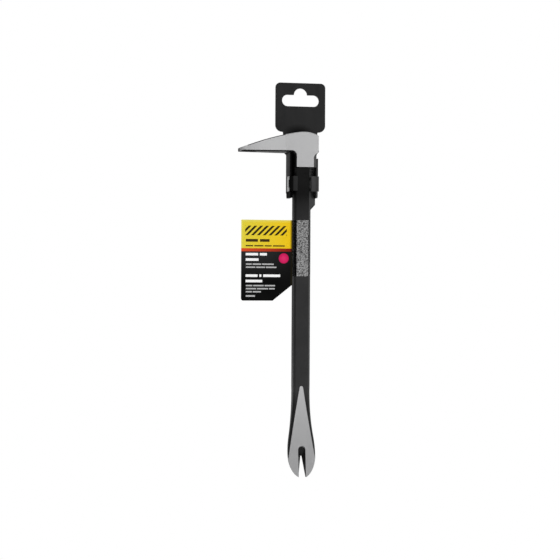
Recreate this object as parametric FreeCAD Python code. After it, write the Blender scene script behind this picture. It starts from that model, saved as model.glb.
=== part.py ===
import FreeCAD, Part
import math
import os

# Forged 12 inch claw bar on its moulded retail hanger, with a wrap-round flag label.
# +Z is up, the bar's broad front faces -Y and the claw head points to -X.
# The origin is the middle of the round hump of the hang slot, in the bar's middle plane.

# ---- Bar: overall -------------------------------------------------------------------
bar_length = 303.7
bar_axis_x = -1.06
crest_level = -34.5

# ---- Bar: shank ---------------------------------------------------------------------
shank_width = 14.8
shank_depth = 12.4
shank_chamfer = 1.8

# ---- Bar: claw head -----------------------------------------------------------------
head_depth = 20.0
claw_reach = 57.7
claw_drop = 17.65
claw_slope_x = 34.3
claw_slope_drop = 7.2
claw_root_x = 8.7
claw_root_drop = 1.05
claw_taper_start = 16.4
claw_tip_length = 8.0
claw_end_width = 11.6
claw_tip_thickness = 2.35
crest_x = 2.3
poll_reach = 13.55
poll_corner_drop = 3.4
poll_height = 14.9
poll_cove = 3.4
poll_cove_bulge = 0.25
poll_cove_fall = 0.35
throat_radius = 3.2
head_edge = 0.7

# ---- Bar: neck ----------------------------------------------------------------------
neck_drop = 30.9
neck_back = 12.0
neck_front_edge = 1.2
neck_back_edge = 3.1
neck_sweep = 5.4
neck_cove_height = 7.6
neck_cove_steps = (0.0, 0.1, 0.3, 0.6, 1.0)
spine_edge_depth = 3.8
spine_length = 25.2
spine_ramp = 4.6

# ---- Bar: lower claw ----------------------------------------------------------------
blade_length = 80.1
flare_length = 76.2
blade_width = 24.4
blade_end_length = 21.0
blade_convex_length = 13.2
blade_bend_radius = 330.0
blade_tip_thickness = 2.2
blade_tip_edge = 0.15
blade_levels = 10
grind_apex = 1.3
grind_spread = 0.168
grind_rim = 0.5
grind_offset = 0.4
flank_drop = 0.7
flank_step = 0.1

# ---- Nail notches -------------------------------------------------------------------
notch_width = 6.5
notch_length = 27.2
notch_throat_width = 1.0
notch_throat_length = 19.5
claw_notch_length = 17.0
claw_notch_throat_length = 13.0
notch_taper = 3.4
claw_notch_taper = 5.0
claw_notch_level = 0.75
notch_overrun = 4.0
notch_tilt = 15.0

# ---- Hanger: tab and back plate -----------------------------------------------------
tab_width = 45.2
tab_top = 10.9
tab_bottom = -32.8
tab_corner = 4.2
tab_lower_corner = 6.0
plate_thickness = 2.0
plate_gap = 0.4
hang_neck_width = 31.0
hang_neck_fillet = 1.0
slot_width = 33.6
slot_height = 10.2
slot_top = 0.2
hump_radius = 6.1
plate_edge = 0.4

# ---- Hanger: channel ----------------------------------------------------------------
channel_width = 22.0
wall_thickness = 1.6
wall_front = -6.0
seat_gap = 0.05
seat_bevel = 0.6
channel_shoulder = 3.0
channel_corner = 1.0
floor_bottom = -88.0
foot_bottom = -92.3
foot_corner = 2.0
foot_top_corner = 0.4
foot_inset = 0.2
foot_left_thickness = 2.2
foot_right_thickness = 1.3
poll_gap = 1.4
rib_thickness = 1.6
rib_pitch = 6.0
rib_count = 3
rib_gap = 0.3

# ---- Hanger: snap fingers -----------------------------------------------------------
finger_top = -73.4
finger_height = 13.2
finger_thickness = 2.0
finger_gap = 0.35
finger_proud = 0.6
finger_root_y = 4.0
nose_reach = 7.35
nose_gap = 0.5
nose_thickness = 2.0
nose_lead = 0.9
nose_lead_run = 0.36
nose_tip_corner = 0.3
nose_root_corner = 0.6
nose_corner = 1.8
core_height = 7.0
core_depth = 4.0

# ---- Label --------------------------------------------------------------------------
flag_width = 45.6
flag_height = 70.9
flag_thickness = 0.4
flag_top = -112.0
flag_y = -3.0
flag_corner = 2.0
flag_top_corner = 0.3
flag_cut_corner = 0.6
flag_cut_width = 17.5
flag_cut_height = 14.0
wrap_height = 49.3
wrap_thickness = 0.25
wrap_gap = 0.03
wrap_fin = 0.5
crease_gap = 0.15

# ---- Modelling allowances: tool overrun, sunk joints and test tolerances -------------
overrun = 1.0
sink = 0.5
near = 0.01
close = 1e-6


def vec(x, y, z):
    return FreeCAD.Vector(x, y, z)


def polygon(points):
    return Part.makePolygon(points + [points[0]])


def prism(points, direction):
    return Part.Face(polygon(points)).extrude(direction)


def box(x0, x1, y0, y1, z0, z1):
    return Part.makeBox(x1 - x0, y1 - y0, z1 - z0, vec(x0, y0, z0))


def mirror_x(shape):
    return shape.mirror(vec(0, 0, 0), vec(1, 0, 0))


# ---- Cross-sections of the bar ------------------------------------------------------
def octagon(z, left, right, front, back, left_edge, right_front, right_depth):
    """Bevelled section: the right side may be bevelled deeper than the left."""
    return polygon([
        vec(left + left_edge, front, z),
        vec(right - right_front, front, z),
        vec(right, front + right_depth, z),
        vec(right, back - right_depth, z),
        vec(right - right_front, back, z),
        vec(left + left_edge, back, z),
        vec(left, back - left_edge, z),
        vec(left, front + left_edge, z),
    ])


def shank_section(z, grow=0.0):
    half = shank_width / 2 + grow
    deep = shank_depth / 2 + grow
    edge = shank_chamfer + grow * (2 - math.sqrt(2))
    return octagon(z, -half, half, -deep, deep, edge, edge, edge)


def neck_section(z):
    half = shank_width / 2
    deep = shank_depth / 2
    right_front = neck_back - half + shank_chamfer
    right_depth = deep - spine_edge_depth / 2
    return octagon(z, -half, neck_back, -deep, deep, shank_chamfer, right_front, right_depth)


def head_section(z):
    half = shank_width / 2
    deep = head_depth / 2
    return octagon(z, -half, neck_back, -deep, deep, neck_front_edge, neck_back_edge, neck_back_edge)


def between(start, end, share, z):
    """Section that lies the given share of the way from one section to another."""
    mixed = []
    for near, far in zip(start.OrderedVertexes, end.OrderedVertexes):
        x = near.X + (far.X - near.X) * share
        y = near.Y + (far.Y - near.Y) * share
        mixed.append(vec(x, y, z))
    return polygon(mixed)


# ---- Claw head ----------------------------------------------------------------------
def claw_taper_end():
    """Where the claw's sides stop tapering and its rounded end begins."""
    return claw_reach - claw_tip_length


def head_profile():
    """Side view of the claw head, from the claw's tip round to the poll and the neck."""
    half = shank_width / 2
    tip_top = vec(-claw_reach, 0, -claw_drop + claw_tip_thickness)
    tip = vec(-claw_reach, 0, -claw_drop)
    slope = vec(-claw_slope_x, 0, -claw_slope_drop)
    root = vec(-claw_root_x, 0, -claw_root_drop)
    crest = vec(crest_x, 0, 0)
    poll_top = vec(poll_reach, 0, -poll_corner_drop)
    poll_low = vec(poll_reach, 0, -poll_corner_drop - poll_height)
    cove_end = vec(neck_back, 0, poll_low.z - poll_cove)
    cove_mid = vec(neck_back + (poll_reach - neck_back) * poll_cove_bulge, 0,
                   poll_low.z - poll_cove * poll_cove_fall)
    low_back = vec(neck_back, 0, -neck_drop)
    low_front = vec(-half, 0, -neck_drop)
    throat_low = vec(-half, 0, -claw_drop - throat_radius)
    throat_mid = vec(-half - throat_radius * (1 - math.sqrt(0.5)), 0,
                     -claw_drop - throat_radius * (1 - math.sqrt(0.5)))
    throat_high = vec(-half - throat_radius, 0, -claw_drop)
    top_line = Part.BSplineCurve()
    top_line.interpolate([tip_top, slope, root, crest, poll_top])
    edges = [
        Part.LineSegment(tip, tip_top),
        top_line,
        Part.LineSegment(poll_top, poll_low),
        Part.Arc(poll_low, cove_mid, cove_end),
        Part.LineSegment(cove_end, low_back),
        Part.LineSegment(low_back, low_front),
        Part.LineSegment(low_front, throat_low),
        Part.Arc(throat_low, throat_mid, throat_high),
        Part.LineSegment(throat_high, tip),
    ]
    return Part.Wire([edge.toShape() for edge in edges])


def half_ellipse(width, length, thickness, centre, towards, through):
    """Solid half-ellipse of the given width whose point lies towards one direction."""
    across = through.cross(towards)
    if width / 2 > length:
        ellipse = Part.Ellipse(centre + across * (width / 2), centre + towards * length, centre)
    else:
        ellipse = Part.Ellipse(centre + towards * length, centre + across * (width / 2), centre)
    disc = Part.Face(Part.Wire(ellipse.toShape()))
    return disc.extrude(through * thickness)


def head_plan():
    """Top view of the head: straight sides that taper towards the claw's rounded end."""
    half = head_depth / 2
    tall = vec(0, 0, neck_drop * 3)
    low = -neck_drop * 2
    taper_end = claw_taper_end()
    body = prism([
        vec(poll_reach * 2, -half, low),
        vec(poll_reach * 2, half, low),
        vec(-claw_taper_start, half, low),
        vec(-taper_end, claw_end_width / 2, low),
        vec(-taper_end, -claw_end_width / 2, low),
        vec(-claw_taper_start, -half, low),
    ], tall)
    tip = half_ellipse(claw_end_width, claw_tip_length, tall.z,
                       vec(-taper_end, 0, low), vec(-1, 0, 0), vec(0, 0, 1))
    return body.fuse(tip)


def neck_edge_waste():
    """Bevels along the neck's rear upright edges, which sweep out under the poll."""
    deep = head_depth / 2
    back_top = -poll_corner_drop - poll_height
    face_end = neck_back - neck_back_edge
    waste = []
    for side in (-1, 1):
        corner = vec(face_end, side * deep, -neck_drop)
        wedge = prism([
            corner,
            corner + vec(neck_back_edge * 2, -side * neck_back_edge * 2, 0),
            corner + vec(neck_back_edge * 2, side * overrun, 0),
            corner + vec(0, side * overrun, 0),
        ], vec(0, 0, neck_drop))
        high = vec(poll_reach, 0, back_top)
        low = vec(face_end, 0, back_top - neck_sweep)
        middle = vec(face_end + (poll_reach - face_end) * (1 - math.sqrt(0.5)), 0,
                     back_top - neck_sweep * (1 - math.sqrt(0.5)))
        region = Part.Face(Part.Wire([
            Part.Arc(high, middle, low).toShape(),
            Part.LineSegment(low, vec(face_end, 0, -neck_drop)).toShape(),
            Part.LineSegment(vec(face_end, 0, -neck_drop), vec(poll_reach, 0, -neck_drop)).toShape(),
            Part.LineSegment(vec(poll_reach, 0, -neck_drop), high).toShape(),
        ]))
        sweep = region.extrude(vec(0, head_depth * 2, 0)).translated(vec(0, -head_depth, 0))
        waste.append(wedge.common(sweep))
    return waste


def notch_outlines(width, length, throat_width, throat_length, taper, past):
    """Entry and far outline of a tapered nail notch that opens along -Z at z = 0.

    The entry outline is a round-ended slot, and the far one a narrow V behind it.
    """
    wide = width / 2
    narrow = throat_width / 2
    top = length - wide
    throat = throat_length - narrow
    spread = (wide - narrow) / throat
    low = narrow + spread * (throat - past)
    entry = Part.Wire([
        Part.LineSegment(vec(-wide, 0, past), vec(-wide, 0, top)).toShape(),
        Part.Arc(vec(-wide, 0, top), vec(0, 0, length), vec(wide, 0, top)).toShape(),
        Part.LineSegment(vec(wide, 0, top), vec(wide, 0, past)).toShape(),
        Part.LineSegment(vec(wide, 0, past), vec(-wide, 0, past)).toShape(),
    ])
    far = Part.Wire([
        Part.LineSegment(vec(-low, taper, past), vec(-narrow, taper, throat)).toShape(),
        Part.Arc(vec(-narrow, taper, throat), vec(0, taper, throat_length),
                 vec(narrow, taper, throat)).toShape(),
        Part.LineSegment(vec(narrow, taper, throat), vec(low, taper, past)).toShape(),
        Part.LineSegment(vec(low, taper, past), vec(-low, taper, past)).toShape(),
    ])
    return entry, far


def notch_tool(width, length, throat_width, throat_length, taper, reach):
    """Cutting solid of a nail notch: straight above its taper, tapered, straight below."""
    entry, far = notch_outlines(width, length, throat_width, throat_length, taper, -notch_overrun)
    above = Part.Face(entry).extrude(vec(0, -reach, 0))
    below = Part.Face(far).extrude(vec(0, reach, 0))
    middle = Part.makeLoft([entry, far], True, True)
    return above.fuse([middle, below])


def claw_edge_waste():
    """Bevels under the claw's tapered sides, in line with those of the throat."""
    half = head_depth / 2
    edge = neck_front_edge
    taper_end = claw_taper_end()
    run = (claw_reach - claw_taper_start) / (taper_end - claw_taper_start)
    waste = []
    for side in (-1, 1):
        corner = vec(-claw_taper_start, side * half, -claw_drop)
        far = vec(-taper_end, side * claw_end_width / 2, -claw_drop)
        waste.append(prism([
            corner + vec(0, 0, edge),
            corner + vec(0, side * overrun, edge),
            corner + vec(0, side * overrun, -overrun),
            corner + vec(0, -side * edge, -overrun),
            corner + vec(0, -side * edge, 0),
        ], (far - corner) * (run + 0.1)))
    return waste


def side_edges(block, wanted):
    """Edges along the head's flat sides whose two ends both pass the wanted test."""
    found = []
    for edge in block.Edges:
        start = edge.Vertexes[0].Point
        end = edge.Vertexes[-1].Point
        one_side = start.y * end.y > (claw_end_width / 2) ** 2 - near
        if one_side and wanted(start) and wanted(end):
            found.append(edge)
    return found


def claw_head():
    """Head block with its rounded claw, bevelled neck and nail notch."""
    profile = Part.Face(head_profile())
    block = profile.extrude(vec(0, head_depth, 0)).translated(vec(0, -head_depth / 2, 0))
    block = block.common(head_plan())
    block = block.cut(neck_edge_waste())
    top = side_edges(block, lambda end: end.z > near - claw_drop)
    poll = side_edges(block, lambda end: end.x > poll_reach - near)
    block = block.makeChamfer(head_edge, top + poll)
    throat = side_edges(block, lambda end: end.z < near - claw_drop and -claw_taper_start - near < end.x < 0)
    block = block.makeChamfer(neck_front_edge, throat)
    block = block.cut(claw_edge_waste())
    tool = notch_tool(notch_width, claw_notch_length, notch_throat_width,
                      claw_notch_throat_length, claw_notch_taper, claw_drop * 2)
    tool.rotate(vec(0, 0, 0), vec(0, 0, 1), 90)
    tool.rotate(vec(0, 0, 0), vec(0, 1, 0), 90)
    return block, tool


# ---- Lower claw ---------------------------------------------------------------------
def blade_half_width(depth):
    """Half width at a depth below the flare's start: an S of two tangent arcs."""
    half = shank_width / 2
    gain = blade_width / 2 - half
    whole = flare_length - blade_end_length
    hollow = whole - blade_convex_length
    turn = 2 * math.atan(gain / whole)
    if depth <= 0:
        return half
    if depth < hollow:
        radius = hollow / math.sin(turn)
        return half + radius - math.sqrt(radius ** 2 - depth ** 2)
    if depth < whole:
        radius = blade_convex_length / math.sin(turn)
        return blade_width / 2 - radius + math.sqrt(radius ** 2 - (whole - depth) ** 2)
    return blade_width / 2


def blade_section(z):
    """Ten-sided section: the middle front face is the ground one."""
    depth = -z - (bar_length - blade_length)
    share = depth / blade_length
    half = blade_half_width(depth - (blade_length - flare_length))
    middle = -depth ** 2 / (2 * blade_bend_radius)
    thick = shank_depth + (blade_tip_thickness - shank_depth) * share
    front = middle - thick / 2
    back = middle + thick / 2
    edge = shank_chamfer * (1 - share) + blade_tip_edge * thick * share
    ground = min(grind_apex + grind_spread * depth, half - grind_rim)
    aside = grind_offset * (1 - share)
    shoulder = max(half - edge, (ground + half) / 2)
    fall = flank_drop * min(1.0, 2 * share) * (half - ground) / half
    side = front + max(edge, fall + flank_step)
    return polygon([
        vec(-ground - aside, front, z),
        vec(ground - aside, front, z),
        vec(shoulder, front + fall, z),
        vec(half, side, z),
        vec(half, back - edge, z),
        vec(half - edge, back, z),
        vec(edge - half, back, z),
        vec(-half, back - edge, z),
        vec(-half, side, z),
        vec(-shoulder, front + fall, z),
    ])


def lower_claw():
    """Flared, forward-bent blade with a rounded end and a nail notch."""
    top = blade_length - bar_length
    levels = [top - blade_length * index / blade_levels for index in range(blade_levels + 1)]
    blade = Part.makeLoft([blade_section(level) for level in levels], True, False)
    widest = -bar_length + blade_end_length
    span = bar_length
    reach = vec(0, -span / 2, 0)
    end = half_ellipse(blade_width, blade_end_length, span, vec(0, 0, widest) + reach,
                       vec(0, 0, -1), vec(0, 1, 0))
    corner = box(-blade_width, blade_width, -span / 2, span / 2, -bar_length - blade_end_length, widest)
    blade = blade.cut(corner.cut(end))
    tip_back = blade_tip_thickness / 2 - blade_length ** 2 / (2 * blade_bend_radius)
    tool = notch_tool(notch_width, notch_length, notch_throat_width, notch_throat_length,
                      notch_taper, shank_depth * 2)
    tool.translate(vec(0, -notch_taper, 0))
    tool.rotate(vec(0, 0, 0), vec(1, 0, 0), -notch_tilt)
    tool.translate(vec(0, tip_back, -bar_length))
    return blade.cut(tool)


def pry_bar():
    head, claw_tool = claw_head()
    low = -neck_drop - neck_cove_height
    upper = head_section(-neck_drop)
    lower = neck_section(low)
    cove = []
    for fall in neck_cove_steps:
        share = math.sqrt(1 - (1 - fall) ** 2)
        cove.append(between(upper, lower, share, -neck_drop - neck_cove_height * fall))
    ramp_top = low - spine_length
    ramp_low = ramp_top - spine_ramp
    stem = Part.makeLoft([
        neck_section(low),
        neck_section(ramp_top),
        shank_section(ramp_low),
        shank_section(blade_length - bar_length),
    ], True, True)
    cove_solid = Part.makeLoft(cove, True, True)
    claw_tool.translate(vec(-claw_reach, 0, -claw_drop * claw_notch_level))
    bar = head.cut(claw_tool).fuse([cove_solid, stem, lower_claw()]).removeSplitter()
    return bar.translated(vec(bar_axis_x, 0, crest_level))


# ---- Hanger -------------------------------------------------------------------------
def rounded_outline(corners):
    """Closed outline of straight runs joined by arcs; each corner is x, z and a radius."""
    edges = []
    ends = []
    count = len(corners)
    for index in range(count):
        x, z, radius = corners[index]
        here = vec(x, 0, z)
        back = vec(corners[index - 1][0], 0, corners[index - 1][1]) - here
        ahead = vec(corners[(index + 1) % count][0], 0, corners[(index + 1) % count][1]) - here
        back.normalize()
        ahead.normalize()
        half_angle = back.getAngle(ahead) / 2
        trim = radius / math.tan(half_angle)
        inward = back + ahead
        inward.normalize()
        middle = here + inward * (radius / math.sin(half_angle) - radius)
        ends.append((here + back * trim, middle, here + ahead * trim))
    for index in range(count):
        start, middle, stop = ends[index]
        if start.distanceToPoint(stop) > close:
            edges.append(Part.Arc(start, middle, stop).toShape())
        following = ends[(index + 1) % count][0]
        if stop.distanceToPoint(following) > close:
            edges.append(Part.LineSegment(stop, following).toShape())
    return Part.Wire(edges)


def plate(corners, y, thickness):
    face = Part.Face(rounded_outline(corners))
    return face.extrude(vec(0, thickness, 0)).translated(vec(0, y, 0))


def mirrored(corners):
    """Right-hand corners from top to bottom, followed by their mirror images."""
    return corners + [(-x, z, radius) for x, z, radius in reversed(corners)]


def claw_seat():
    """Height of the claw's underside, which hangs on the left wall."""
    return crest_level - claw_drop - seat_gap


def poll_seat():
    """Top of the right wall, just clear of the cove under the poll."""
    return crest_level - poll_corner_drop - poll_height - poll_cove - poll_gap


def hang_slot(y, thickness):
    """Round-ended hang slot with a round hump in the middle of its top edge."""
    half = slot_width / 2
    end = slot_height / 2
    slot = plate(mirrored([
        (half, slot_top, end),
        (half, slot_top - slot_height, end),
    ]), y, thickness)
    hump = Part.makeCylinder(hump_radius, thickness, vec(0, y, 0), vec(0, 1, 0))
    return slot.fuse(hump)


def back_plate():
    """Hang tab, neck and channel floor in one flat plate behind the bar."""
    y = head_depth / 2 + plate_gap
    outer = channel_width / 2 + wall_thickness
    shoulder_top = claw_seat() + wall_thickness
    outline = plate(mirrored([
        (tab_width / 2, tab_top, tab_corner),
        (tab_width / 2, tab_bottom, tab_lower_corner),
        (hang_neck_width / 2, tab_bottom, hang_neck_fillet),
        (hang_neck_width / 2, shoulder_top, channel_corner),
        (outer, shoulder_top - channel_shoulder, channel_corner),
        (outer, floor_bottom, channel_corner),
    ]), y, plate_thickness)
    front = [edge for edge in outline.Edges if abs(edge.CenterOfMass.y - y) < close]
    outline = outline.makeChamfer(plate_edge, front)
    return outline.cut(hang_slot(y - overrun, plate_thickness + 2 * overrun))


def wall(side, top, foot_thickness):
    """Side wall of the channel with its foot; it stops short of the snap finger."""
    back = head_depth / 2 + plate_gap + plate_thickness / 2
    inner = channel_width / 2
    outer = inner + wall_thickness
    finger_bottom = finger_top - finger_height
    upper = prism([
        vec(inner, wall_front, finger_top + finger_gap),
        vec(outer, wall_front, finger_top + finger_gap),
        vec(outer, wall_front, top),
        vec(inner + seat_bevel, wall_front, top),
        vec(inner, wall_front, top - seat_bevel),
    ], vec(0, back - wall_front, 0))
    spine = box(inner, outer, finger_root_y + finger_thickness / 2 + finger_gap, back,
                floor_bottom, finger_top + overrun)
    foot_top = finger_bottom - finger_gap
    foot = plate_side([
        (wall_front, foot_top, foot_top_corner),
        (back, foot_top, foot_top_corner),
        (back, foot_bottom, foot_corner),
        (wall_front, foot_bottom, foot_corner),
    ], outer - foot_inset - foot_thickness, foot_thickness)
    solid = upper.fuse([spine, foot]).removeSplitter()
    if side < 0:
        return mirror_x(solid)
    return solid


def plate_side(corners, x, thickness):
    """Plate that stands in the YZ plane; each corner is y, z and a radius."""
    face = Part.Face(rounded_outline(corners))
    face.rotate(vec(0, 0, 0), vec(0, 0, 1), 90)
    return face.extrude(vec(thickness, 0, 0)).translated(vec(x, 0, 0))


def hanger():
    """One moulding: tab, plate, channel walls with feet, and ribs behind the shank."""
    y = head_depth / 2 + plate_gap
    pieces = [wall(-1, claw_seat(), foot_left_thickness), wall(1, poll_seat(), foot_right_thickness)]
    for index in range(rib_count):
        level = finger_top - rib_thickness - index * rib_pitch
        pieces.append(box(-channel_width / 2 - sink, channel_width / 2 + sink,
                          shank_depth / 2 + rib_gap, y + sink, level, level + rib_thickness))
    return back_plate().fuse(pieces).removeSplitter()


def snap_finger():
    """Right-hand finger: a springy side arm with a nose that hooks round the bar."""
    outer = channel_width / 2 + wall_thickness + finger_proud
    inner = outer - finger_thickness
    nose_back = -shank_depth / 2 - nose_gap
    nose_front = nose_back - nose_thickness
    tip = outer - nose_reach
    outline = rounded_outline([
        (inner, finger_root_y, 0.0),
        (inner, nose_back, nose_root_corner),
        (tip, nose_back, nose_tip_corner),
        (tip + nose_lead_run, nose_front, nose_lead),
        (outer, nose_front, nose_corner),
        (outer, finger_root_y, 0.0),
    ])
    root = Part.makeCylinder(finger_thickness / 2, finger_height,
                             vec((inner + outer) / 2, finger_root_y, finger_top - finger_height))
    face = Part.Face(outline)
    face.rotate(vec(0, 0, 0), vec(1, 0, 0), -90)
    solid = face.extrude(vec(0, 0, finger_height)).translated(vec(0, 0, finger_top - finger_height))
    middle = finger_top - finger_height / 2
    core = box(inner - near, outer + overrun, nose_back, nose_back + core_depth,
               middle - core_height / 2, middle + core_height / 2)
    return solid.fuse(root).cut(core).removeSplitter()


# ---- Label --------------------------------------------------------------------------
def clear_wrap():
    """Film sleeve round the shank, with the short fin that carries the flag."""
    low = flag_top - wrap_height
    tall = vec(0, 0, wrap_height)
    outer = Part.Face(shank_section(low, wrap_gap + wrap_thickness)).extrude(tall)
    inner = Part.Face(shank_section(low, wrap_gap)).extrude(tall)
    side = -shank_width / 2 - wrap_gap - wrap_thickness
    fin = box(side - wrap_fin, side + wrap_thickness / 2, flag_y - flag_thickness / 2,
              flag_y + flag_thickness / 2, low, flag_top)
    sleeve = outer.fuse(fin).cut(inner)
    return sleeve.removeSplitter().translated(vec(bar_axis_x, 0, 0))


def crease_x():
    """The flag's crease, where it bends, just left of the film's fin."""
    fin_end = -shank_width / 2 - wrap_gap - wrap_thickness - wrap_fin
    return bar_axis_x + fin_end - crease_gap - flag_thickness / 2


def label_flag():
    """Printed flag with one corner cut off; its edge is round along the crease."""
    right = crease_x()
    left = right - flag_width
    low = flag_top - flag_height
    cut_top = low + flag_cut_height
    corners = [
        (left, low, flag_corner),
        (right - flag_cut_width, low, flag_cut_corner),
        (right, cut_top, 0.0),
        (right, flag_top, 0.0),
        (left, flag_top, flag_top_corner),
    ]
    sheet = plate(corners, flag_y - flag_thickness / 2, flag_thickness)
    crease = Part.makeCylinder(flag_thickness / 2, flag_top - cut_top, vec(right, flag_y, cut_top))
    return sheet.fuse(crease).removeSplitter()


# ---- Output -------------------------------------------------------------------------
def write(name, shape):
    shape.exportStep("parts/" + name + ".step")


os.makedirs("parts", exist_ok=True)
write("pry_bar", pry_bar())
write("hanger", hanger())
write("snap_finger_right", snap_finger())
write("snap_finger_left", mirror_x(snap_finger()))
write("clear_wrap", clear_wrap())
write("label_flag", label_flag())
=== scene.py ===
import math

import bmesh
import bpy
from mathutils import Matrix, Vector


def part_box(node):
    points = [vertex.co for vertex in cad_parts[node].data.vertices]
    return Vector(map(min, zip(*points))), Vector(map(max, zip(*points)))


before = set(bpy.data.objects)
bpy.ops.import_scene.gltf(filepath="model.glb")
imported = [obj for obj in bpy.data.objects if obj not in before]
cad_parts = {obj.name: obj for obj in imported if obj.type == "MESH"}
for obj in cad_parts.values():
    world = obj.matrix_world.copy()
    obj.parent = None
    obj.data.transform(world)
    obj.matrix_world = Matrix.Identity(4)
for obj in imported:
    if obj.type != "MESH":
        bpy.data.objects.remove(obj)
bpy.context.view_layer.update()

# Dresses the pry bar's CAD pieces in materials and sets the photo's light and view. Lengths
# are in metres in the row frame: x to the right, y to the back, z up.
MM = 0.001
WHITE = (1.0, 1.0, 1.0, 1.0)

# ---- Camera: fitted to the photo; angles in degrees ------------------------------------
VIEW_AZIMUTH = 11.0
VIEW_DISTANCE = 1.25
VIEW_ROLL = 0.3
PIXELS_PER_METRE = 1131.6
IMAGE_PIXELS = 560
SENSOR_WIDTH = 36.0
VIEW_LEVEL = -0.1647
VIEW_LEFT_SHIFT = 0.01849

# ---- Floor ----------------------------------------------------------------------------
FLOOR_LEVEL = -0.46
FLOOR_RADIUS = 3.0
SHADOW_RADIUS = 0.22
SHADOW_FADE_START = 0.3 * SHADOW_RADIUS
FLOOR_COLOUR = (0.9, 0.9, 0.9, 1.0)
FLOOR_ROUGHNESS = 0.8

# ---- Light: levels by direction, whose x, y and z run from -1 to 1 ---------------------
WORLD_LEVEL = 0.62
LEFT_GLOSS = 0.2
FRONT_GLOSS = 0.56
TOP_GLOSS = 0.6
LEFT_GLOSS_END = -0.3
RIGHT_GLOSS_START = 0.7
FRONT_GLOSS_START = -0.55
FRONT_GLOSS_END = -0.95
TOP_GLOSS_START = 0.5
TOP_GLOSS_END = 0.9
KEY_PLACE = (1.1, -1.3, 0.9)
KEY_SIZE = (1.2, 1.2)
KEY_POWER = 18.0
FILL_PLACE = (-1.4, -1.0, 0.2)
FILL_SIZE = (1.0, 1.4)
FILL_POWER = 6.0

# ---- Bar: ground faces, with sizes as in the CAD --------------------------------------
SHANK_HALF = 7.4 * MM
SHANK_EDGE = 1.8 * MM
CREST_ALLOWANCE = 0.03 * MM
HEAD_HALF = 10.0 * MM
HEAD_TAPER_START = 16.4 * MM
HEAD_TAPER_END = 49.7 * MM
HEAD_TIP_LENGTH = 8.0 * MM
HEAD_TIP_SHOWN = 6.8 * MM
HEAD_TIP_HALF = 5.8 * MM
HEAD_FACE_LOW = 16.4 * MM
HEAD_EDGE = 0.69 * MM
HEAD_FACE_SKIN = 0.06 * MM
BAR_TIP_ALLOWANCE = 0.71 * MM
BLADE_LENGTH = 80.1 * MM
BLADE_BEND = 330.0 * MM
GRIND_APEX = 1.3 * MM
GRIND_SPREAD = 0.168
GRIND_OFFSET = 0.4 * MM
GRIND_CAP_DROP = 1.1 * MM
NOTCH_WIDTH = 6.5 * MM
NOTCH_LENGTH = 27.0 * MM
NOTCH_SKIN = 0.03 * MM
WRAP_FIN = 0.5 * MM

# ---- Bar: tones, roughness from smooth to rough ----------------------------------------
UPPER_PART = -120.0 * MM
FACET_START = 5.8 * MM
# The neck below the head, apart from its right facet, gets darker paint and a dimmer reflection:
# painted shade.
NECK_START = -90.0 * MM
NECK_END = -118.0 * MM
NECK_SHADE_SPECULAR = 0.1
OPEN_SPECULAR = 0.42
# The lower end of the bar reflects less: painted shade.
LOWER_START = -262.0 * MM
LOWER_END = -275.0 * MM
LOWER_SHADE_SPECULAR = 0.45
PAINT_DARK = (0.005, 0.005, 0.0052, 1.0)
PAINT_PALE = (0.011, 0.011, 0.0114, 1.0)
NECK_SHADE_DARK = (0.002, 0.002, 0.002, 1.0)
NECK_SHADE_PALE = (0.006, 0.006, 0.006, 1.0)
STEEL_LOW_DULL = (0.36, 0.36, 0.365, 1.0)
STEEL_LOW_BRIGHT = (0.42, 0.42, 0.425, 1.0)
STEEL_HIGH_DULL = (0.50, 0.50, 0.505, 1.0)
STEEL_HIGH_BRIGHT = (0.56, 0.56, 0.565, 1.0)
PAINT_ROUGHNESS = (0.28, 0.42)
STEEL_ROUGHNESS = (0.30, 0.44)
BELT_STRETCH = (240.0, 900.0, 5200.0)
STROKE_STRETCH = (5200.0, 900.0, 240.0)
GRIT_SHARE = 0.35
# The tapered claw's ground faces are painted paler, painted light, and darker again towards the
# tip, painted shade.
CLAW_LIGHT_GAIN = 1.34
CLAW_GAIN_BLEND = 0.05 * MM
CLAW_TIP_SHADE_GAIN = 0.86
CLAW_TIP_START = -36.0 * MM
CLAW_TIP_END = -50.0 * MM

# ---- Plastic: tones by place, matched to the photo's light ----------------------------
PLASTIC_BLACK = (0.001, 0.001, 0.001, 1.0)
PLASTIC_DARK = (0.005, 0.005, 0.0051)
PLASTIC_PALE = (0.011, 0.011, 0.0113)
# A painted shadow on the hanger board above the bar's crest, kept off the board's back.
CREST_MIDDLE = -1.6 * MM
CREST_SQUEEZE = 0.6
CREST_SHADE_START = 2.0 * MM
CREST_SHADE_END = 9.0 * MM
CREST_SHADE = 0.12
HANGER_BACK = 11.4 * MM
FOOT_TOP = -86.0 * MM
FOOT_BLEND = 0.5 * MM
# Painted shade on the left foot.
LEFT_FOOT_SHADE = 0.04
# Painted shade on the left nose's lip.
LIP_START = -9.8 * MM
LIP_END = -10.4 * MM
LIP_FRONT = -6.4 * MM
LIP_SHADE = 0.85
# The left wall is painted darker at its front, painted shade, and paler at its rear, a painted
# highlight.
LEFT_WALL_FACE = -10.9 * MM
LEFT_WALL_MIDDLE = -62.8 * MM
LEFT_WALL_HALF = 10.7 * MM
LEFT_WALL_FRONT = -6.0 * MM
LEFT_WALL_REAR = 9.0 * MM
LEFT_WALL_FRONT_SHADE = 0.1
LEFT_WALL_REAR_SHADE = 1.9
# The right wall below the bar's head is painted paler, and its foot paler still: painted light.
RIGHT_WALL_START = 9.0 * MM
RIGHT_WALL_END = 11.0 * MM
RIGHT_WALL_TOP = -53.0 * MM
RIGHT_WALL_BLEND = 3.0 * MM
RIGHT_LIT_DARK = (0.016, 0.016, 0.0162, 1.0)
RIGHT_LIT_PALE = (0.026, 0.026, 0.0262, 1.0)
RIGHT_FOOT_LIT_PALE = (0.10, 0.10, 0.101, 1.0)
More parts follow.
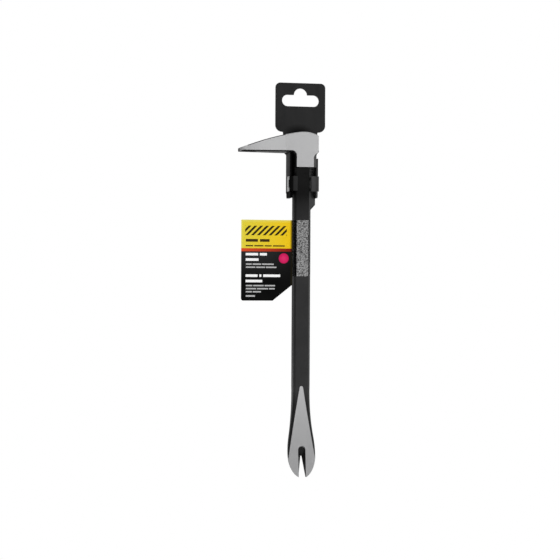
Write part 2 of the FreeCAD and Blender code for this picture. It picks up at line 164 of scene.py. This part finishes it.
# The left finger's outer face gets a paler base colour, a painted highlight, with a real sheen
# lobe on top.
FINGER_FACE = -13.1 * MM
FINGER_TOP = -73.3 * MM
FINGER_SHEEN_START = -7.0 * MM
FINGER_SHEEN_END = -3.0 * MM
FINGER_SHEEN_ROUGHNESS = 0.45
FINGER_PAINTED_SHEEN_BASE = (0.075, 0.075, 0.0755, 1.0)
PLASTIC_SPECULAR = 0.22
PLASTIC_ROUGHNESS = (0.26, 0.46)
PLASTIC_SHADE_SPAN = (0.25, 0.75)
SCUFF_STRETCH = (260.0, 260.0, 40.0)
SCUFF_SHADE_SHARE = 0.5
SCUFF_BUMP_SHARE = 0.6
# Painted light: the right finger's plastic colours are multiplied by this lift.
RIGHT_FINGER_LIGHT_LIFT = 5.0

# ---- Label: places down and across the flag, colours as 8-bit sRGB ---------------------
LABEL_FRONT = -2.9 * MM
YELLOW_LEFT = (214, 198, 58)
YELLOW_RIGHT = (228, 188, 20)
YELLOW_PALE = (216, 210, 104)
PALE_TOP_END = 2.6 * MM
PALE_LEFT_END = 2.2 * MM
PALE_LEFT = 0.8
PALE_SHARE = 0.75
STRIPE_WIDTH = 1.3 * MM
STRIPES_MIDDLE = (22.0 * MM, 9.4 * MM)
STRIPES_HALF = (18.6 * MM, 4.2 * MM)
STRIPE_INK = (44, 38, 18)
HEAD_INK = (58, 44, 20)
WHITE_INK = (236,) * 3
GREY_INK = (172,) * 3
RED_LEFT = (206, 74, 40)
RED_RIGHT = (118, 22, 18)
RED_MIDDLE = 26.35 * MM
RED_HALF = 1.35 * MM
FIELD_TOP = 27.7 * MM
FIELD_DARK = (0.001, 0.001, 0.001, 1.0)
FIELD_PALE = (0.003, 0.003, 0.003, 1.0)
FIELD_SHEEN = (0.020, 0.020, 0.0205, 1.0)
SHEEN_TOP = 28.0 * MM
SHEEN_BOTTOM = 54.0 * MM
SHEEN_LEFT = 20.0 * MM
SHEEN_RIGHT = 44.0 * MM
SHEEN_RIGHT_SHARE = 0.3
DISC_ACROSS = 37.9 * MM
DISC_DOWN = 33.7 * MM
DISC_CORE = 4.4 * MM
DISC_EDGE = 4.3 * MM
DISC_RADIUS = 4.6 * MM
DISC_MIDDLE_INK = (214, 48, 104)
DISC_EDGE_INK = (188, 22, 82)
# A painted shadow along the flag's right edge, where it bends towards the wrap.
CURL_START = 2.4 * MM
CURL_END = 0.6 * MM
CURL_SHADE = 0.96
CURL_SHADOW_COLOUR = (0.012, 0.010, 0.004, 1.0)
LABEL_SPECULAR = 0.06
LABEL_ROUGHNESS = (0.16, 0.26)
INK_BUMP_SHARE = 0.1
# Plain bars, each as its start and end across, its middle down the flag, and its height, in mm.
HEAD_BARS = [
    (4.0, 14.8, 18.1, 2.4), (16.6, 25.2, 18.1, 2.4),
    (4.0, 10.6, 22.8, 1.1), (11.6, 19.8, 22.8, 1.1), (20.8, 27.0, 22.8, 1.1),
    (28.2, 38.8, 22.8, 1.1),
]
WHITE_BARS = [
    (4.0, 15.0, 30.2, 2.2), (16.6, 22.8, 30.2, 2.2),
    (4.0, 15.4, 34.9, 2.2),
    (4.0, 14.6, 49.0, 2.2), (16.2, 18.0, 49.0, 2.2), (19.6, 34.8, 49.0, 2.2),
    (4.0, 18.8, 53.7, 2.2),
]
GREY_BARS = [
    (4.2, 9.4, 38.9, 1.2), (10.2, 17.8, 38.9, 1.2), (18.6, 29.0, 38.9, 1.2),
    (4.2, 12.6, 41.6, 1.2), (13.4, 21.2, 41.6, 1.2), (22.0, 31.4, 41.6, 1.2),
    (4.2, 10.0, 57.7, 1.2), (10.8, 20.2, 57.7, 1.2), (21.0, 30.2, 57.7, 1.2),
    (4.2, 13.4, 60.4, 1.2), (14.2, 24.0, 60.4, 1.2), (24.8, 30.0, 60.4, 1.2),
    (4.2, 9.6, 63.1, 1.2), (10.4, 17.6, 63.1, 1.2),
    (4.2, 12.4, 66.8, 1.4),
]

# ---- Film: alpha 0 is clear -----------------------------------------------------------
FILM_LEFT_INSET = 0.3 * MM
FILM_RIGHT_INSET = 0.5 * MM
FILM_BEVEL_STRENGTH = 0.12
GLARE_LOW = 0.45
GLARE_HIGH = 0.55
GLARE_MIN = 0.04
GLARE_MAX = 0.60
# Off the shank's front the film is dark and half clear: painted shade on the sides and back.
FILM_BACK_ALPHA = 0.50
FILM_FRONT_ALPHA = 0.03
FILM_SHADE_TINT = (0.006, 0.006, 0.006, 1.0)
FILM_MILK = (0.38, 0.38, 0.38, 1.0)
FILM_EDGE = (0.20, 0.20, 0.20, 1.0)
FILM_EDGE_INSET = 0.5 * MM
FILM_EDGE_HALF = 0.35 * MM
FILM_BACK_SPECULAR = 0.06
FILM_FRONT_SPECULAR = 0.3
FILM_ROUGHNESS = (0.12, 0.26)
WRINKLE_STRETCH = (420.0, 420.0, 90.0)
SPECK_SHARE = 0.8
FILM_CLOUD_BUMP_SHARE = 0.5


def srgb(red, green, blue):
    """Linear colour of an 8-bit sRGB one."""
    out = []
    for value in (red, green, blue):
        share = value / 255.0
        out.append(share / 12.92 if share <= 0.04045 else ((share + 0.055) / 1.055) ** 2.4)
    return (*out, 1.0)


# ---- Node helpers -------------------------------------------------------------------
NOISE_SPAN = (0.3, 0.7)  # where most of a noise's values lie


class Nodes:
    """Builds a node tree with short calls."""

    def __init__(self, tree):
        self.tree = tree

    def new(self, kind, inputs=None, **settings):
        node = self.tree.nodes.new("ShaderNode" + kind)
        for key, value in settings.items():
            setattr(node, key, value)
        for key, value in (inputs or {}).items():
            self.feed(node.inputs[key], value)
        return node

    def feed(self, socket, value):
        if isinstance(value, bpy.types.NodeSocket):
            self.tree.links.new(value, socket)
        else:
            socket.default_value = value

    def math(self, operation, first, second=0.0, third=0.0):
        return self.new("Math", {0: first, 1: second, 2: third}, operation=operation).outputs[0]

    def product(self, first, *others):
        for other in others:
            first = self.math("MULTIPLY", first, other)
        return first

    def length(self, first, second):
        squares = (self.math("POWER", value, 2.0) for value in (first, second))
        return self.math("SQRT", self.math("ADD", *squares))

    def ramp(self, value, low, high, out_low=0.0, out_high=1.0, **settings):
        inputs = {0: value, 1: low, 2: high, 3: out_low, 4: out_high}
        return self.new("MapRange", inputs, **settings).outputs[0]

    def blend(self, share, low, high):
        """Mix of two numbers."""
        return self.new("Mix", {0: share, 2: low, 3: high}).outputs[0]

    def mix(self, share, low, high):
        """Mix of two colours."""
        return self.new("Mix", {0: share, 6: low, 7: high}, data_type="RGBA").outputs[2]


class MaterialNodes(Nodes):
    """The node tree of a new material."""

    def __init__(self, name):
        self.material = bpy.data.materials.new(name)
        self.material.use_nodes = True
        super().__init__(self.material.node_tree)
        self.shader = self.tree.nodes["Principled BSDF"]

    def position(self):
        """Object-space place, x, y and z, which go with the piece in every pose."""
        place = self.new("TexCoord").outputs["Object"]
        split = self.new("SeparateXYZ", {0: place})
        return place, split.outputs[0], split.outputs[1], split.outputs[2]

    def noise(self, place, scale, detail, roughness=0.55, stretch=None):
        if stretch:
            place = self.new("Mapping", {"Vector": place, "Scale": stretch}).outputs[0]
        inputs = {"Vector": place, "Scale": scale, "Detail": detail, "Roughness": roughness}
        return self.new("TexNoise", inputs).outputs["Fac"]

    def bump(self, height, strength, distance):
        inputs = {"Height": height, "Strength": strength, "Distance": distance}
        self.feed(self.shader.inputs["Normal"], self.new("Bump", inputs).outputs[0])

    def set(self, **values):
        for key, value in values.items():
            self.feed(self.shader.inputs[key.replace("_", " ")], value)


def dress(node_name, material):
    """Gives a CAD node its material."""
    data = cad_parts[node_name].data
    data.materials.clear()
    data.materials.append(material)


# ---- Materials ----------------------------------------------------------------------
def bar_axis():
    """x of the shank's axis, from the film that goes round it."""
    return (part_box("clear_wrap")[0].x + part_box("clear_wrap")[1].x + WRAP_FIN) / 2


def lifted(colour, lift):
    """The colour with each of its parts multiplied by the lift."""
    return (*(part * lift for part in colour), 1.0)


def plastic_light(made, x, y, z, above_foot):
    """How open each place of the moulding is to the light, as painted light and shade: 1 is open,
    0 is hidden.

    It is painted darker above the bar's crest, a painted shadow, on the left foot, on the left
    nose's lip, and at the front of the left wall, and painted paler at the wall's rear, a painted
    highlight.
    """
    crest_aside = made.math("MULTIPLY", made.math("SUBTRACT", x, CREST_MIDDLE), CREST_SQUEEZE)
    crest_above = made.math("SUBTRACT", z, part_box("pry_bar")[1].z)
    crest = made.ramp(made.length(crest_aside, crest_above),
                      CREST_SHADE_START, CREST_SHADE_END, CREST_SHADE, 1.0)
    crest = made.math("MAXIMUM", crest, made.math("GREATER_THAN", y, HANGER_BACK))
    left_foot = made.math("MAXIMUM", above_foot, made.math("GREATER_THAN", x, 0.0))
    lip = made.math("MULTIPLY", made.ramp(x, LIP_END, LIP_START, 1.0, 0.0),
                    made.math("LESS_THAN", y, LIP_FRONT))
    lip = made.math("MULTIPLY_ADD", lip, -LIP_SHADE, 1.0)
    left_wall = made.math("MULTIPLY", made.math("LESS_THAN", x, LEFT_WALL_FACE),
                          made.math("COMPARE", z, LEFT_WALL_MIDDLE, LEFT_WALL_HALF))
    wall_shade = made.ramp(y, LEFT_WALL_FRONT, LEFT_WALL_REAR,
                           LEFT_WALL_FRONT_SHADE - 1.0, LEFT_WALL_REAR_SHADE - 1.0)
    left_wall = made.math("MULTIPLY_ADD", left_wall, wall_shade, 1.0)
    return made.product(crest, left_foot, lip, left_wall)


def plastic_material(name, lift):
    """Black moulding plastic; the lift paints a piece that catches more light paler, as painted
    light.
    """
    made = MaterialNodes(name)
    place, x, y, z = made.position()
    grain = made.noise(place, scale=1500.0, detail=2.0)
    cloud = made.noise(place, scale=45.0, detail=4.0)
    scuff = made.noise(place, scale=1.0, detail=3.0, roughness=0.6, stretch=SCUFF_STRETCH)
    shade = made.math("MULTIPLY_ADD", made.math("SUBTRACT", scuff, 0.5), SCUFF_SHADE_SHARE, cloud)

    low_foot, high_foot = FOOT_TOP - FOOT_BLEND, FOOT_TOP
    above_foot = made.ramp(z, low_foot, high_foot, LEFT_FOOT_SHADE, 1.0)
    # Painted light and shade: each place's colour is mixed towards black, and its reflection
    # dimmed, where it stands in shade.
    free = plastic_light(made, x, y, z, above_foot)
    dark = made.mix(free, PLASTIC_BLACK, lifted(PLASTIC_DARK, lift))
    pale = made.mix(free, PLASTIC_BLACK, lifted(PLASTIC_PALE, lift))

    # Painted light: the right wall and its foot get paler colours.
    right = made.math("MULTIPLY", made.ramp(x, RIGHT_WALL_START, RIGHT_WALL_END),
                      made.ramp(z, RIGHT_WALL_TOP - RIGHT_WALL_BLEND, RIGHT_WALL_TOP, 1.0, 0.0))
    right_foot_lit = made.math("MULTIPLY", right, made.ramp(z, low_foot, high_foot, 1.0, 0.0))
    dark = made.mix(right, dark, RIGHT_LIT_DARK)
    pale = made.mix(right, pale, RIGHT_LIT_PALE)
    pale = made.mix(right_foot_lit, pale, RIGHT_FOOT_LIT_PALE)

    # A painted highlight in the base colour of the left finger's outer face, along with a real
    # sheen lobe.
    sheen = made.product(made.math("LESS_THAN", x, FINGER_FACE),
                         made.math("LESS_THAN", z, FINGER_TOP),
                         made.ramp(y, FINGER_SHEEN_START, FINGER_SHEEN_END))
    made.set(Base_Color=made.mix(sheen, made.mix(shade, dark, pale), FINGER_PAINTED_SHEEN_BASE),
             Sheen_Weight=sheen, Sheen_Roughness=FINGER_SHEEN_ROUGHNESS, Sheen_Tint=WHITE,
             Roughness=made.ramp(shade, *PLASTIC_SHADE_SPAN, *PLASTIC_ROUGHNESS),
             Specular_IOR_Level=made.math("MULTIPLY", free, PLASTIC_SPECULAR))
    made.bump(made.math("MULTIPLY_ADD", scuff, SCUFF_BUMP_SHARE, grain),
              strength=0.22, distance=0.05 * MM)
    return made.material


def head_faces(made, x, y, z):
    """1 on both ground sides of the head and on the bevels of its thick part."""
    along = made.math("SUBTRACT", x, bar_axis())
    aside = made.math("ABSOLUTE", y)
    half = made.ramp(along, -HEAD_TAPER_END, -HEAD_TAPER_START, HEAD_TIP_HALF, HEAD_HALF)
    past = made.ramp(along, -HEAD_TAPER_END, -HEAD_TAPER_END - HEAD_TIP_LENGTH)
    tip_rounding = made.math("SQRT", made.math("SUBTRACT", 1.0, made.math("POWER", past, 2.0)))
    half = made.math("MULTIPLY", half, tip_rounding)
    flat = made.math("GREATER_THAN", aside, made.math("SUBTRACT", half, HEAD_FACE_SKIN))
    on_edge = made.math("GREATER_THAN", aside, made.math("SUBTRACT", half, HEAD_EDGE))
    high = made.math("GREATER_THAN", z,
                     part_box("pry_bar")[1].z - CREST_ALLOWANCE - HEAD_FACE_LOW)
    thick_part = made.math("GREATER_THAN", along, -HEAD_TAPER_START)
    bevel = made.product(on_edge, high, thick_part)
    behind_tip = made.math("GREATER_THAN", along, -HEAD_TAPER_END - HEAD_TIP_SHOWN)
    in_head = made.math("GREATER_THAN", z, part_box("pry_bar")[1].z - 3 * HEAD_FACE_LOW)
    return made.product(made.math("MAXIMUM", flat, bevel), behind_tip, in_head)


def claw_face(made, x, y, z):
    """1 on the ground drop shape at the front of the lower claw, outside its notch."""
    along = made.math("SUBTRACT", x, bar_axis())
    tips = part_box("pry_bar")[0].z - BAR_TIP_ALLOWANCE
    start = tips + BLADE_LENGTH
    depth = made.math("SUBTRACT", start, z)
    below = made.math("MAXIMUM", depth, 0.0)
    above = made.math("MINIMUM", made.math("SUBTRACT", depth, GRIND_CAP_DROP), 0.0)
    across = made.math("ABSOLUTE", made.math(
        "ADD", along, made.ramp(below, 0.0, BLADE_LENGTH, GRIND_OFFSET, 0.0)))
    apex = made.math("SQRT", made.math("SUBTRACT", GRIND_APEX ** 2,
                                       made.math("POWER", above, 2.0)))
    inside = made.math("LESS_THAN", across, made.math("MULTIPLY_ADD", below, GRIND_SPREAD, apex))
    bend = made.math("MULTIPLY", made.math("POWER", below, 2.0), -0.5 / BLADE_BEND)
    front = made.math("LESS_THAN", y, bend)
    notch_centre = tips + NOTCH_LENGTH - NOTCH_WIDTH / 2
    notch_rise = made.math("MAXIMUM", made.math("SUBTRACT", z, notch_centre), 0.0)
    outside_notch = made.math("GREATER_THAN", made.length(along, notch_rise),
                              NOTCH_WIDTH / 2 + NOTCH_SKIN)
    under_cap = made.math("LESS_THAN", z, start + GRIND_APEX - GRIND_CAP_DROP)
    return made.product(inside, front, outside_notch, under_cap)


def steel_material():
    """Satin black paint over a forging, with bright ground faces."""
    made = MaterialNodes("bar_steel")
    place, x, y, z = made.position()
    ground = made.math("MAXIMUM", head_faces(made, x, y, z), claw_face(made, x, y, z))
    along = made.math("SUBTRACT", x, bar_axis())
    peel = made.noise(place, scale=800.0, detail=2.0)
    cloud = made.noise(place, scale=55.0, detail=4.0)
    grit = made.noise(place, scale=3200.0, detail=2.0)
    belt = made.noise(place, scale=1.0, detail=4.0, roughness=0.62, stretch=BELT_STRETCH)
    stroke = made.noise(place, scale=1.0, detail=4.0, roughness=0.62, stretch=STROKE_STRETCH)
    lines = made.mix(made.math("GREATER_THAN", z, UPPER_PART), stroke, belt)

    # Painted shade on the neck: darker paint and less reflection, except on the right facet.
    facet = made.math("GREATER_THAN", along, FACET_START)
    unshaded_part = made.math("MAXIMUM", made.ramp(z, NECK_END, NECK_START, 1.0, 0.0), facet)
    paint = made.mix(unshaded_part, made.mix(cloud, NECK_SHADE_DARK, NECK_SHADE_PALE),
                     made.mix(cloud, PAINT_DARK, PAINT_PALE))

    tone = made.ramp(z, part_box("pry_bar")[0].z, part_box("pry_bar")[0].z + BLADE_LENGTH)
    dull = made.mix(tone, STEEL_LOW_DULL, STEEL_HIGH_DULL)
    bright = made.mix(tone, STEEL_LOW_BRIGHT, STEEL_HIGH_BRIGHT)
    polish = made.math("MULTIPLY_ADD", grit, GRIT_SHARE,
                       made.math("MULTIPLY", lines, 1.0 - GRIT_SHARE))
    # Painted light on the tapered claw's ground faces and painted shade towards its tip.
    light_gain = made.math("MULTIPLY",
                     made.ramp(along, -HEAD_TAPER_START - CLAW_GAIN_BLEND, -HEAD_TAPER_START,
                               CLAW_LIGHT_GAIN, 1.0),
                     made.ramp(along, CLAW_TIP_END, CLAW_TIP_START, CLAW_TIP_SHADE_GAIN, 1.0))
    light_gains = made.new("CombineXYZ", {0: light_gain, 1: light_gain, 2: light_gain}).outputs[0]
    steel = made.new("VectorMath", {0: made.mix(polish, dull, bright), 1: light_gains},
                     operation="MULTIPLY").outputs[0]

    # The paint's reflection is dimmed on the neck and at the lower end: painted shade.
    specular = made.math("MULTIPLY",
                         made.ramp(unshaded_part, 0.0, 1.0, NECK_SHADE_SPECULAR, OPEN_SPECULAR),
                         made.ramp(z, LOWER_END, LOWER_START, LOWER_SHADE_SPECULAR, 1.0))
    made.set(Base_Color=made.mix(ground, paint, steel), Metallic=ground,
             Specular_IOR_Level=specular,
             Roughness=made.mix(ground, made.ramp(cloud, *NOISE_SPAN, *PAINT_ROUGHNESS),
                                made.ramp(lines, *NOISE_SPAN, *STEEL_ROUGHNESS)))
    made.bump(made.mix(ground, peel, lines), strength=0.2, distance=0.04 * MM)
    return made.material


# ---- Label --------------------------------------------------------------------------
def bars(made, across, down, rows):
    """1 inside any of the short plain bars."""
    total = 0.0
    for start, end, middle, height in rows:
        wide = made.math("COMPARE", across, (start + end) / 2 * MM, (end - start) / 2 * MM)
        tall = made.math("COMPARE", down, middle * MM, height / 2 * MM)
        total = made.math("MULTIPLY_ADD", wide, tall, total)
    return made.math("MINIMUM", total, 1.0)


def label_head(made, across, down, front, sweep):
    """Yellow, paler at its top and left edges, with slanted stripes and two rows of bars."""
    yellow = made.mix(sweep, srgb(*YELLOW_LEFT), srgb(*YELLOW_RIGHT))
    pale = made.math("MAXIMUM", made.ramp(down, 0.0, PALE_TOP_END, 1.0, 0.0),
                     made.ramp(across, 0.0, PALE_LEFT_END, PALE_LEFT, 0.0))
    yellow = made.mix(made.math("MULTIPLY", pale, PALE_SHARE), yellow, srgb(*YELLOW_PALE))
    wave = made.math("PINGPONG", made.math("ADD", across, down), 2 * STRIPE_WIDTH)
    stripes = made.product(made.math("GREATER_THAN", wave, STRIPE_WIDTH),
                           made.math("COMPARE", across, STRIPES_MIDDLE[0], STRIPES_HALF[0]),
                           made.math("COMPARE", down, STRIPES_MIDDLE[1], STRIPES_HALF[1]), front)
    yellow = made.mix(stripes, yellow, srgb(*STRIPE_INK))
    rows = made.math("MULTIPLY", bars(made, across, down, HEAD_BARS), front)
    return made.mix(rows, yellow, srgb(*HEAD_INK))


def label_field(made, across, down, front, cloud):
    """Black, shinier at its upper left, with rows of bars and a plain disc."""
    black = made.mix(cloud, FIELD_DARK, FIELD_PALE)
    sheen = made.math("MULTIPLY", made.ramp(down, SHEEN_TOP, SHEEN_BOTTOM, 1.0, 0.0),
                      made.ramp(across, SHEEN_RIGHT, SHEEN_LEFT, SHEEN_RIGHT_SHARE, 1.0))
    black = made.mix(sheen, black, FIELD_SHEEN)
    for rows, ink in ((WHITE_BARS, WHITE_INK), (GREY_BARS, GREY_INK)):
        shown = made.math("MULTIPLY", bars(made, across, down, rows), front)
        black = made.mix(shown, black, srgb(*ink))
    reach = made.length(made.math("SUBTRACT", across, DISC_ACROSS),
                        made.math("SUBTRACT", down, DISC_DOWN))
    disc = made.math("MULTIPLY", made.ramp(reach, DISC_EDGE, DISC_RADIUS, 1.0, 0.0), front)
    pink = made.mix(made.ramp(reach, 0.0, DISC_CORE), srgb(*DISC_MIDDLE_INK),
                    srgb(*DISC_EDGE_INK))
    return made.mix(disc, black, pink)


def label_material():
    """Printed film: yellow head with stripes, red band, and a black field with plain bars."""
    made = MaterialNodes("label_print")
    place, x, y, z = made.position()
    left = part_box("label_flag")[0].x
    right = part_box("label_flag")[1].x
    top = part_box("label_flag")[1].z
    across = made.math("SUBTRACT", x, left)
    down = made.math("SUBTRACT", top, z)
    front = made.math("LESS_THAN", y, LABEL_FRONT)
    cloud = made.noise(place, scale=90.0, detail=4.0)
    ink = made.noise(place, scale=1500.0, detail=2.0)
    sweep = made.ramp(across, 0.0, right - left)

    colour = made.mix(made.math("GREATER_THAN", down, FIELD_TOP),
                      label_head(made, across, down, front, sweep),
                      label_field(made, across, down, front, cloud))
    colour = made.mix(made.math("COMPARE", down, RED_MIDDLE, RED_HALF), colour,
                      made.mix(sweep, srgb(*RED_LEFT), srgb(*RED_RIGHT)))
    # Painted shadow along the flag's right edge.
    curl_shadow = made.ramp(made.math("SUBTRACT", right - left, across), CURL_END, CURL_START,
                     CURL_SHADE, 0.0)
    made.set(Base_Color=made.mix(curl_shadow, colour, CURL_SHADOW_COLOUR),
             Roughness=made.ramp(cloud, *NOISE_SPAN, *LABEL_ROUGHNESS),
             Specular_IOR_Level=LABEL_SPECULAR)
    made.bump(made.math("MULTIPLY_ADD", ink, INK_BUMP_SHARE, cloud),
              strength=0.3, distance=0.12 * MM)
    return made.material


def film_material():
    """Clear film with wrinkles and a milky, speckled glare on the front of the shank; off its
    flat front it has a dark, half-clear tint, painted shade.
    """
    made = MaterialNodes("clear_film")
    place, x, y, _ = made.position()
    along = made.math("SUBTRACT", x, bar_axis())
    wrinkle = made.noise(place, scale=1.0, detail=4.0, roughness=0.6, stretch=WRINKLE_STRETCH)
    cloud = made.noise(place, scale=160.0, detail=4.0)
    speck = made.noise(place, scale=900.0, detail=2.0)

    left_edge = SHANK_EDGE - SHANK_HALF + FILM_LEFT_INSET
    right_edge = SHANK_HALF - SHANK_EDGE - FILM_RIGHT_INSET
    front = made.math("MULTIPLY", made.math("LESS_THAN", y, 0.0),
                      made.math("GREATER_THAN", along, left_edge))
    flat = made.math("LESS_THAN", along, right_edge)
    front_flat = made.math("MULTIPLY", front, flat)
    bevel_edge = made.math("MULTIPLY", front, made.math(
        "COMPARE", along, SHANK_HALF - FILM_EDGE_INSET, FILM_EDGE_HALF))

    patch = made.math("MULTIPLY_ADD", speck, SPECK_SHARE,
                      made.math("MULTIPLY", cloud, 1.0 - SPECK_SHARE))
    glare = made.product(front, made.ramp(flat, 0.0, 1.0, FILM_BEVEL_STRENGTH, 1.0),
                         made.ramp(patch, GLARE_LOW, GLARE_HIGH, GLARE_MIN, GLARE_MAX))
    # Painted shade: off the front, the film covers the shank with a dark tint.
    cover = made.math("MULTIPLY_ADD", front, FILM_FRONT_ALPHA - FILM_BACK_ALPHA, FILM_BACK_ALPHA)
    made.set(Base_Color=made.mix(bevel_edge, made.mix(front_flat, FILM_SHADE_TINT, FILM_MILK),
                                 FILM_EDGE),
             Roughness=made.ramp(wrinkle, *NOISE_SPAN, *FILM_ROUGHNESS),
             Alpha=made.math("ADD", glare, cover),
             Specular_IOR_Level=made.ramp(front_flat, 0.0, 1.0,
                                          FILM_BACK_SPECULAR, FILM_FRONT_SPECULAR))
    made.bump(made.math("MULTIPLY_ADD", cloud, FILM_CLOUD_BUMP_SHARE, wrinkle),
              strength=0.6, distance=0.2 * MM)
    return made.material


# ---- Stage --------------------------------------------------------------------------
def build_world():
    """White to the camera and through film; on the object its glossy light differs by side."""
    world = bpy.data.worlds.new("studio")
    world.use_nodes = True
    made = Nodes(world.node_tree)
    path = made.new("LightPath").outputs
    seen = made.math("MAXIMUM", path["Is Camera Ray"], path["Is Transmission Ray"])
    split = made.new("SeparateXYZ", {0: made.new("TexCoord").outputs["Generated"]}).outputs
    smooth = {"interpolation_type": "SMOOTHSTEP"}
    gloss = made.ramp(split[0], LEFT_GLOSS_END, RIGHT_GLOSS_START, LEFT_GLOSS, 1.0, **smooth)
    gloss = made.ramp(split[1], FRONT_GLOSS_START, FRONT_GLOSS_END, gloss, FRONT_GLOSS, **smooth)
    gloss = made.ramp(split[2], TOP_GLOSS_START, TOP_GLOSS_END, gloss, TOP_GLOSS, **smooth)
    level = made.blend(path["Is Glossy Ray"], WORLD_LEVEL, gloss)
    background = made.tree.nodes["Background"]
    made.feed(background.inputs["Strength"], made.blend(seen, level, 1.0))
    made.feed(background.inputs["Color"], WHITE)
    bpy.context.scene.world = world


def build_floor():
    """Pale floor that keeps the shadow under the object and runs out to plain white."""
    mesh = bpy.data.meshes.new("floor")
    shape = bmesh.new()
    bmesh.ops.create_circle(shape, cap_ends=True, radius=FLOOR_RADIUS, segments=64)
    bmesh.ops.translate(shape, vec=(0, 0, FLOOR_LEVEL), verts=shape.verts)
    shape.to_mesh(mesh)
    shape.free()
    floor = bpy.data.objects.new("floor", mesh)
    bpy.context.scene.collection.objects.link(floor)
    made = MaterialNodes("floor_white")
    made.set(Base_Color=FLOOR_COLOUR, Roughness=FLOOR_ROUGHNESS)
    _, x, y, _ = made.position()
    seen = made.new("LightPath").outputs["Is Camera Ray"]
    share = made.math("MULTIPLY", made.ramp(made.length(x, y), SHADOW_FADE_START, SHADOW_RADIUS),
                      seen)
    glow = made.new("Emission", {"Color": WHITE, "Strength": 1.0})
    blend = made.new("MixShader", {0: share, 1: made.shader.outputs[0], 2: glow.outputs[0]})
    made.tree.links.new(blend.outputs[0], made.tree.nodes["Material Output"].inputs["Surface"])
    mesh.materials.append(made.material)


def area_light(name, place, size, power, mirrored):
    """Lamp turned to the middle of the view; mirrored says whether reflections show it."""
    data = bpy.data.lights.new(name, "AREA")
    data.shape = "RECTANGLE"
    data.size, data.size_y = size
    data.energy = power
    light = bpy.data.objects.new(name, data)
    light.location = place
    light.visible_glossy = mirrored
    ahead = Vector((0.0, 0.0, VIEW_LEVEL)) - Vector(place)
    light.rotation_euler = ahead.to_track_quat("-Z", "Y").to_euler()
    bpy.context.scene.collection.objects.link(light)


def build_camera():
    """The photo's view, from a little to the left of the front."""
    azimuth = math.radians(VIEW_AZIMUTH)
    ahead = Vector((math.sin(azimuth), math.cos(azimuth), 0.0))
    right = Vector((math.cos(azimuth), -math.sin(azimuth), 0.0))
    target = Vector((bar_axis(), 0.0, VIEW_LEVEL)) - right * VIEW_LEFT_SHIFT
    data = bpy.data.cameras.new("camera")
    data.sensor_width = SENSOR_WIDTH
    data.lens = SENSOR_WIDTH * PIXELS_PER_METRE * VIEW_DISTANCE / IMAGE_PIXELS
    data.clip_end = 20.0
    camera = bpy.data.objects.new("camera", data)
    camera.location = target - ahead * VIEW_DISTANCE
    roll = Matrix.Rotation(math.radians(VIEW_ROLL), 3, "Z").to_quaternion()
    camera.rotation_euler = (ahead.to_track_quat("-Z", "Y") @ roll).to_euler()
    bpy.context.scene.collection.objects.link(camera)
    bpy.context.scene.camera = camera


bpy.context.scene.view_settings.view_transform = "Standard"
dress("hanger", plastic_material("moulded_plastic", 1.0))
dress("snap_finger_left", plastic_material("finger_plastic_left", 1.0))
# The right finger gets a paler copy of the plastic: painted light.
dress("snap_finger_right", plastic_material("finger_plastic_right", RIGHT_FINGER_LIGHT_LIFT))
dress("pry_bar", steel_material())
dress("clear_wrap", film_material())
dress("label_flag", label_material())
build_world()
build_floor()
area_light("key", KEY_PLACE, KEY_SIZE, KEY_POWER, mirrored=True)
area_light("fill", FILL_PLACE, FILL_SIZE, FILL_POWER, mirrored=False)
build_camera()
